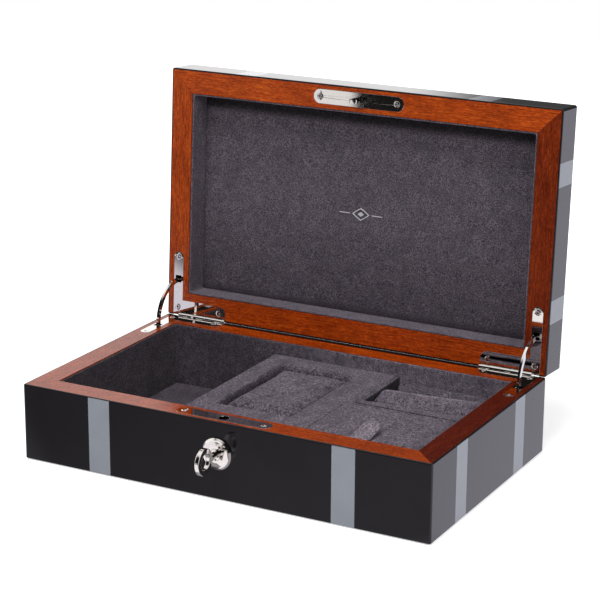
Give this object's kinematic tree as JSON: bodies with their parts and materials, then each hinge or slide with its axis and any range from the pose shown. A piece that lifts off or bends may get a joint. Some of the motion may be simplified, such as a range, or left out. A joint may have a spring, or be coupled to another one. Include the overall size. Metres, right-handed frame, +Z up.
{
  "type": "watch and accessory box",
  "caption": "Lockable lacquered box with wood rims, a lid on quadrant hinges, a turning key and a suede interior with a watch well, an open bay, a flap bin and ring rolls.",
  "frame": {"origin": "centre of the underside of the base", "axes": "+X to the box's right seen from the front, +Y to the back where the lid is hinged, +Z up"},
  "size_m": [0.28, 0.2281, 0.2197],
  "materials": {
    "black_lacquer": "polished black lacquer over board",
    "grey_inlay": "silver grey lacquered stripe, polished flush",
    "mahogany": "satin red-brown mahogany",
    "plywood": "plain board",
    "suede": "napped suede, dark mauve grey",
    "foam": "firm foam",
    "felt": "black felt",
    "nickel": "polished nickel plate",
    "lock_steel": "plain sheet steel",
    "brass": "satin brass"
  },
  "bodies": {
    "base": {"base_front_board": "black_lacquer", "base_back_board": "black_lacquer", "base_left_board": "black_lacquer", "base_right_board": "black_lacquer", "base_rim_front": "mahogany", "base_rim_back": "mahogany", "base_rim_left": "mahogany", "base_rim_right": "mahogany", "base_inlay_long_sides": "grey_inlay", "base_inlay_short_sides": "grey_inlay", "base_bottom_panel": "plywood", "base_felt_pad": "felt", "base_wall_lining": "suede", "left_floor_pad": "suede", "centre_insert": "suede", "accessory_tray": "suede", "accessory_floor_pad": "suede", "ring_roll_front": "suede", "ring_roll_middle": "suede", "ring_roll_back": "suede", "flap_hinge_strip": "suede", "hinge_leaf_base_right": "nickel", "hinge_leaf_base_left": "nickel", "hinge_pin_right": "nickel", "hinge_pin_left": "nickel", "hinge_screws_base": "nickel", "lock_case": "lock_steel", "lock_face_plate": "nickel", "lock_face_screws": "nickel", "escutcheon": "nickel"},
    "lid": {"lid_front_board": "black_lacquer", "lid_back_board": "black_lacquer", "lid_left_board": "black_lacquer", "lid_right_board": "black_lacquer", "lid_rim_front": "mahogany", "lid_rim_back": "mahogany", "lid_rim_left": "mahogany", "lid_rim_right": "mahogany", "lid_top_panel": "black_lacquer", "lid_inlay_top": "grey_inlay", "lid_inlay_long_sides": "grey_inlay", "lid_inlay_short_sides": "grey_inlay", "lid_wall_lining": "suede", "lid_lining_panel": "suede", "hinge_leaf_lid_right": "nickel", "hinge_leaf_lid_left": "nickel", "hinge_screws_lid": "nickel", "strike_plate": "nickel", "strike_hook": "nickel", "strike_plate_screws": "nickel"},
    "stay_right": {"hinge_stay_right": "nickel"},
    "stay_left": {"hinge_stay_left": "nickel"},
    "lock_plug": {"lock_plug": "nickel"},
    "lock_bolt": {"lock_bolt": "brass"},
    "key": {"key": "nickel"},
    "flap": {"flap_panel": "suede", "flap_pull_tab": "suede"},
    "watch_pillow": {"watch_pillow_core": "foam", "watch_pillow_cover": "suede"}
  },
  "joints": [
    {"name": "lid_hinge", "type": "hinge", "parent": "base", "child": "lid", "pos_m": [0, 0.085, 0.0501], "axis": [1, 0, 0], "range_deg": [0, 93.5]},
    {"name": "stay_right_swing", "type": "hinge", "parent": "base", "child": "stay_right", "pos_m": [0.13175, 0.085, 0.0501], "axis": [1, 0, 0], "range_deg": [0, 46.75]},
    {"name": "stay_left_swing", "type": "hinge", "parent": "base", "child": "stay_left", "pos_m": [-0.13175, 0.085, 0.0501], "axis": [1, 0, 0], "range_deg": [0, 46.75]},
    {"name": "key_turn", "type": "hinge", "parent": "base", "child": "lock_plug", "pos_m": [0, -0.085, 0.03], "axis": [0, 1, 0], "range_deg": [0, 90]},
    {"name": "bolt_throw", "type": "slide", "parent": "base", "child": "lock_bolt", "axis": [-1, 0, 0], "range_m": [0, 0.0036]},
    {"name": "key_insert", "type": "slide", "parent": "lock_plug", "child": "key", "axis": [0, 1, 0], "range_m": [-0.035, 0]},
    {"name": "flap_hinge", "type": "hinge", "parent": "base", "child": "flap", "pos_m": [0.0812, 0.00505, 0.0416], "axis": [1, 0, 0], "range_deg": [-95, 0]},
    {"name": "pillow_lift", "type": "slide", "parent": "base", "child": "watch_pillow", "axis": [0, 0, -1], "range_m": [-0.07, 0]}
  ],
  "couplings": [
    {"joint": "stay_right_swing", "follows": "lid_hinge", "ratio": 0.5},
    {"joint": "stay_left_swing", "follows": "lid_hinge", "ratio": 0.5},
    {"joint": "key_turn", "follows": "bolt_throw", "rad_per_m": 436.32}
  ]
}
